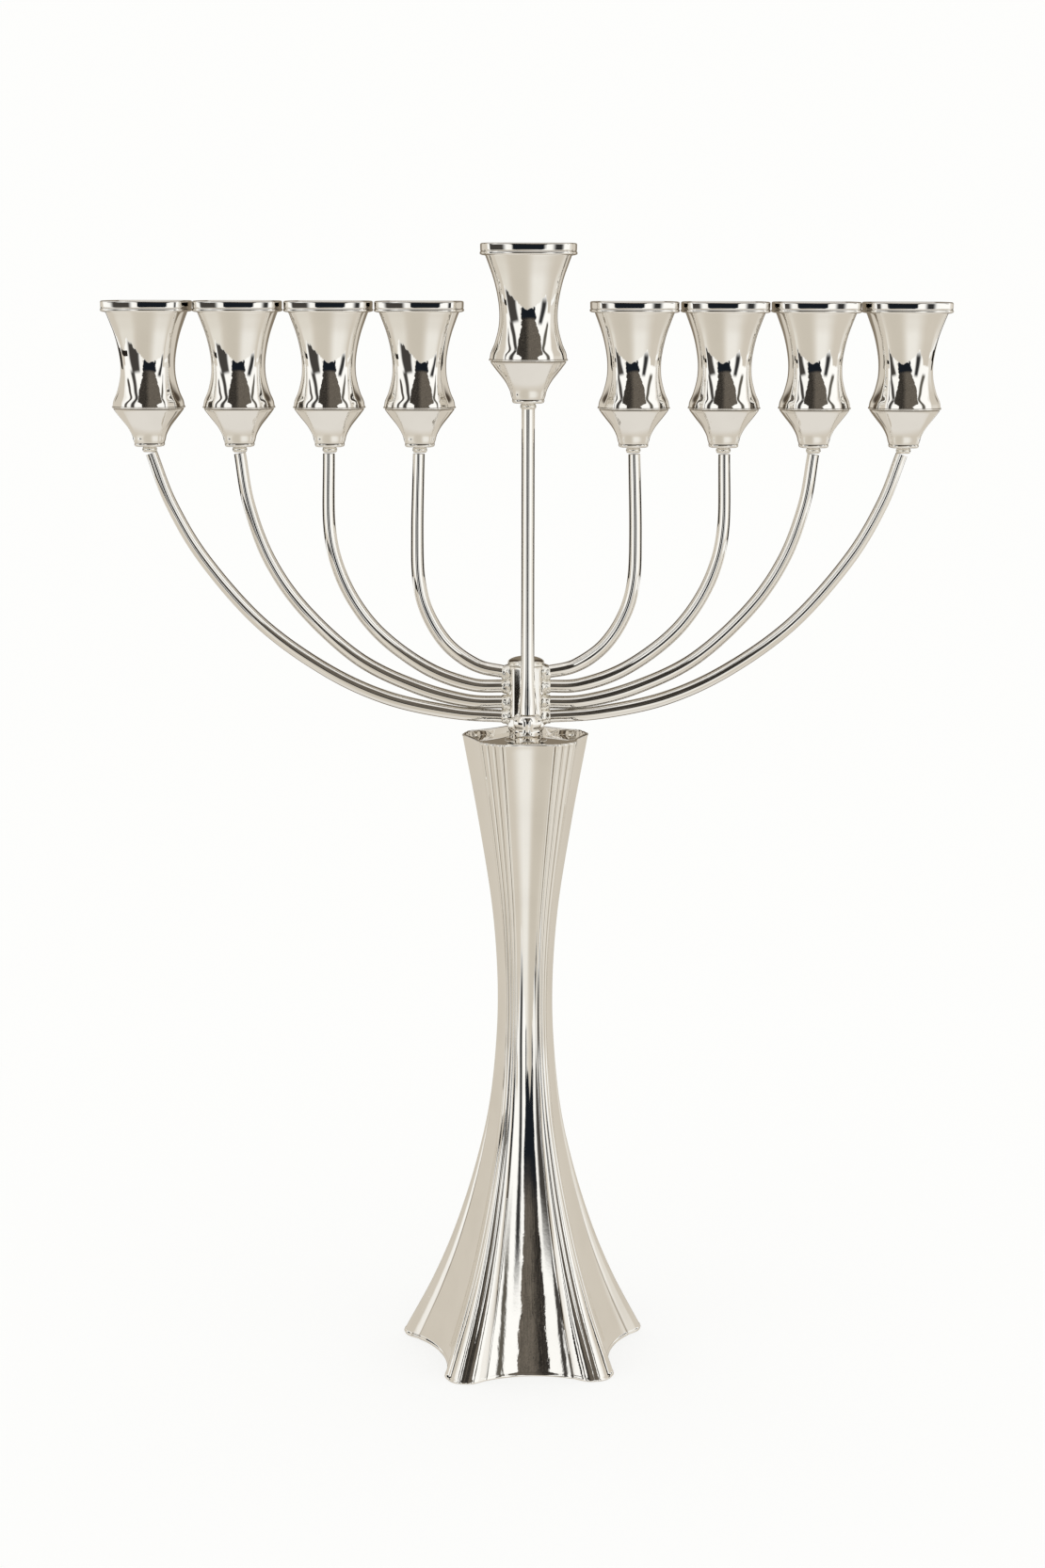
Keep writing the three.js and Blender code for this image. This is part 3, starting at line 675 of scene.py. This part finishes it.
def studio():
    """A painted surrounding that only the silver mirrors; the camera and the floor see a plain one."""
    world = bpy.data.worlds.new("studio")
    bpy.context.scene.world = world
    world.use_nodes = True
    tree = world.node_tree
    tree.nodes.clear()
    direction = node(tree, "ShaderNodeTexCoord").outputs["Generated"]
    parts = node(tree, "ShaderNodeSeparateXYZ", {0: direction}).outputs
    ahead = maths(tree, "MULTIPLY", parts["Y"], -1.0)
    azimuth = maths(tree, "DEGREES", maths(tree, "ARCTAN2", parts["X"], ahead))
    elevation = maths(tree, "DEGREES", maths(tree, "ARCSINE", parts["Z"]))
    jitter = mapped(tree, noise(tree, direction, 16.0, 4.0), 0.3, 0.7, -1.5, 1.5)
    above = table_edge(tree, azimuth, elevation, jitter)
    colour = BEIGE
    for layers, share in ((TABLE, 1.0), (FRONT, above)):
        for layer, azimuths, elevations, soft in layers:
            across = smooth_mask(tree, azimuth, *azimuths, soft[0])
            upright = smooth_mask(tree, elevation, *elevations, soft[1])
            mask = maths(tree, "MULTIPLY", maths(tree, "MULTIPLY", across, upright), share)
            colour = layered(tree, colour, layer, mask)
    colour = opening(tree, colour, direction, azimuth, elevation, jitter, above)
    around = node(tree, "ShaderNodeBackground", {"Color": colour, "Strength": 1.0})
    behind = node(tree, "ShaderNodeBackground", {"Color": (*BACKDROP, 1), "Strength": 1.0})
    ray = node(tree, "ShaderNodeLightPath").outputs
    plain = maths(tree, "MAXIMUM", ray["Is Camera Ray"], ray["Is Diffuse Ray"])
    seen = node(tree, "ShaderNodeMixShader", {0: plain, 1: around.outputs[0], 2: behind.outputs[0]})
    node(tree, "ShaderNodeOutputWorld", {"Surface": seen.outputs[0]})


def opening_width(tree, elevation):
    """The opening's half-width against elevation, both in degrees, held in a curve."""
    share = mapped(tree, elevation, OPENING_LOW, OPENING_HIGH)
    curve = node(tree, "ShaderNodeFloatCurve", {"Value": share})
    points = curve.mapping.curves[0].points
    span = OPENING_HIGH - OPENING_LOW
    stops = [((height - OPENING_LOW) / span, width / OPENING_WIDEST) for height, width in OPENING_HALF_WIDTH]
    points[0].location, points[-1].location = stops[0], stops[-1]
    for stop in stops[1:-1]:
        points.new(*stop)
    curve.mapping.update()
    return maths(tree, "MULTIPLY", curve.outputs[0], OPENING_WIDEST)


def opening(tree, colour, direction, azimuth, elevation, jitter, above):
    """A dark opening straight ahead: narrow and blue-black low down, widening and brown-grey higher up."""
    lean = mapped(tree, elevation, 5.0, 20.0, 0.0, -3.0)
    aside = maths(tree, "ABSOLUTE", maths(tree, "ADD", azimuth, lean))
    past = maths(tree, "ADD", maths(tree, "SUBTRACT", aside, opening_width(tree, elevation)), jitter)
    inside = mapped(tree, past, 0.5, -0.5)
    below_top = mapped(tree, elevation, 56.0, 54.0)
    mask = maths(tree, "MULTIPLY", maths(tree, "MULTIPLY", inside, above), below_top)
    grain = noise(tree, stretched(tree, direction, (3.0, 3.0, 1.5)), 26.0, 8.0, 0.75)
    blotch = mapped(tree, azimuth, -6.0, 3.0, -0.13, 0.03)
    brown = node(tree, "ShaderNodeValToRGB", {"Fac": maths(tree, "ADD", grain, blotch)})
    stops = [(0.34, (0.02, 0.018, 0.016, 1)), (0.62, (0.19, 0.165, 0.135, 1))]
    for element, (position, shade) in zip(brown.color_ramp.elements, stops):
        element.position = position
        element.color = shade
    high = mapped(tree, elevation, 0.0, 4.0)
    dark = node(tree, "ShaderNodeMix", {"Factor": high, 6: (0.010, 0.013, 0.018, 1), 7: brown.outputs[0]},
                data_type="RGBA")
    mix = node(tree, "ShaderNodeMix", {"Factor": mask, 6: colour, 7: dark.outputs[2]}, data_type="RGBA")
    return mix.outputs[2]


def floor():
    """A pale paper floor that glows more the further out it is, until it is the backdrop."""
    ticks = np.linspace(-FLOOR_REACH, FLOOR_REACH, FLOOR_ROWS + 1)
    across = FLOOR_ROWS + 1
    corners = [r * across + c for r in range(FLOOR_ROWS) for c in range(FLOOR_ROWS)]
    mesh = bpy.data.meshes.new("floor")
    mesh.from_pydata([(x, y, -0.0002) for y in ticks for x in ticks], [],
                     [(i, i + 1, i + across + 1, i + across) for i in corners])
    piece = bpy.data.objects.new("floor", mesh)
    bpy.context.scene.collection.objects.link(piece)
    piece.visible_glossy = False
    material = bpy.data.materials.new("pale_floor")
    material.use_nodes = True
    tree = material.node_tree
    shader = tree.nodes["Principled BSDF"]
    shader.inputs["Roughness"].default_value = 0.9
    shader.inputs["Specular IOR Level"].default_value = 0.0
    spot = node(tree, "ShaderNodeTexCoord").outputs["Object"]
    tone = mapped(tree, noise(tree, spot, 400.0, 3.0), 0.0, 1.0, 0.89, 0.91)
    paper = node(tree, "ShaderNodeCombineColor", {0: tone, 1: tone, 2: tone})
    tree.links.new(paper.outputs[0], shader.inputs["Base Color"])
    glow = node(tree, "ShaderNodeEmission", {"Color": (*BACKDROP, 1), "Strength": 1.0})
    far = node(tree, "ShaderNodeVectorMath", {0: spot}, operation="LENGTH").outputs["Value"]
    lit = mapped(tree, far, 0.12, 0.5, FLOOR_GLOW, 1.0)
    mix = node(tree, "ShaderNodeMixShader", {0: lit, 1: shader.outputs[0], 2: glow.outputs[0]})
    tree.links.new(mix.outputs[0], tree.nodes["Material Output"].inputs["Surface"])
    piece.data.materials.append(material)


CARD_DISTANCE = 1.0
CARD_STEPS = 32
# Cards on edge round the table, which only the silver sees: colour, azimuths and heights.
CARDS = [
    ("dark_card_left", (0.015, 0.013, 0.010), (-148, -98), (0.15, 0.33)),
    ("dark_card_right", (0.015, 0.013, 0.010), (98, 148), (0.15, 0.33)),
    ("low_white_card_left", (1.0, 1.0, 0.98), (-146, -84), (0.07, 0.145)),
    ("low_white_card_right", (1.0, 1.0, 0.98), (50, 148), (0.07, 0.145)),
    ("low_dark_card", (0.02, 0.017, 0.014), (-82, -41), (0.07, 0.145)),
]


def card(name, colour, azimuths, heights):
    """A curved card standing at a distance that glows in its own colour, a painted glow rather than light
    falling on it, so that the silver mirrors it in that colour.
    """
    turn = np.radians(np.linspace(*azimuths, CARD_STEPS + 1))
    mesh = bpy.data.meshes.new(name)
    line = [(CARD_DISTANCE * math.sin(a), -CARD_DISTANCE * math.cos(a)) for a in turn]
    mesh.from_pydata([(x, y, z) for z in heights for x, y in line], [],
                     [(i, i + 1, i + CARD_STEPS + 2, i + CARD_STEPS + 1) for i in range(CARD_STEPS)])
    piece = bpy.data.objects.new(name, mesh)
    bpy.context.scene.collection.objects.link(piece)
    piece.visible_camera = piece.visible_diffuse = piece.visible_shadow = False
    material = bpy.data.materials.new(name)
    material.use_nodes = True
    tree = material.node_tree
    tree.nodes.remove(tree.nodes["Principled BSDF"])
    spot = node(tree, "ShaderNodeTexCoord").outputs["Object"]
    strength = mapped(tree, noise(tree, spot, 9.0, 3.0), 0.0, 1.0, 0.8, 1.2)
    # painted glow: the card's colour is emitted, not lit by any lamp
    glow = node(tree, "ShaderNodeEmission", {"Color": (*colour, 1), "Strength": strength})
    tree.links.new(glow.outputs[0], tree.nodes["Material Output"].inputs["Surface"])
    piece.data.materials.append(material)


def lamp(name, strength, tilt, turn, angle):
    """A broad soft light from far off that lights the floor and isn't mirrored in the silver."""
    data = bpy.data.lights.new(name, "SUN")
    data.energy = strength
    data.angle = math.radians(angle)
    light = bpy.data.objects.new(name, data)
    light.rotation_euler = (math.radians(tilt), 0, math.radians(turn))
    light.visible_glossy = False
    bpy.context.scene.collection.objects.link(light)


def main():
    make_camera()
    column()
    plate("recessed_top_plate", "top_plate", HUB_SILVER, 1.9)
    plate("inner_base_plate", "base_plate", SATIN_SILVER, 1.9)
    hub()
    fastening()
    socket()
    for side_name, side in (("left", -1), ("right", 1)):
        for i, route in enumerate(ARM_ROUTES):
            arm(f"arm_{side_name}_{i + 1}", route, side)
            cup(f"cup_{side_name}_{i + 1}", "candelabrum", CUP_YAW[side_name][i])
    shamash_rod()
    cup("shamash_cup", "shamash", scale=1.077)
    studio()
    floor()
    for settings in CARDS:
        card(*settings)
    lamp("overhead", 0.35, 10, 20, 120)
    bpy.context.scene.view_settings.view_transform = "Standard"


main()
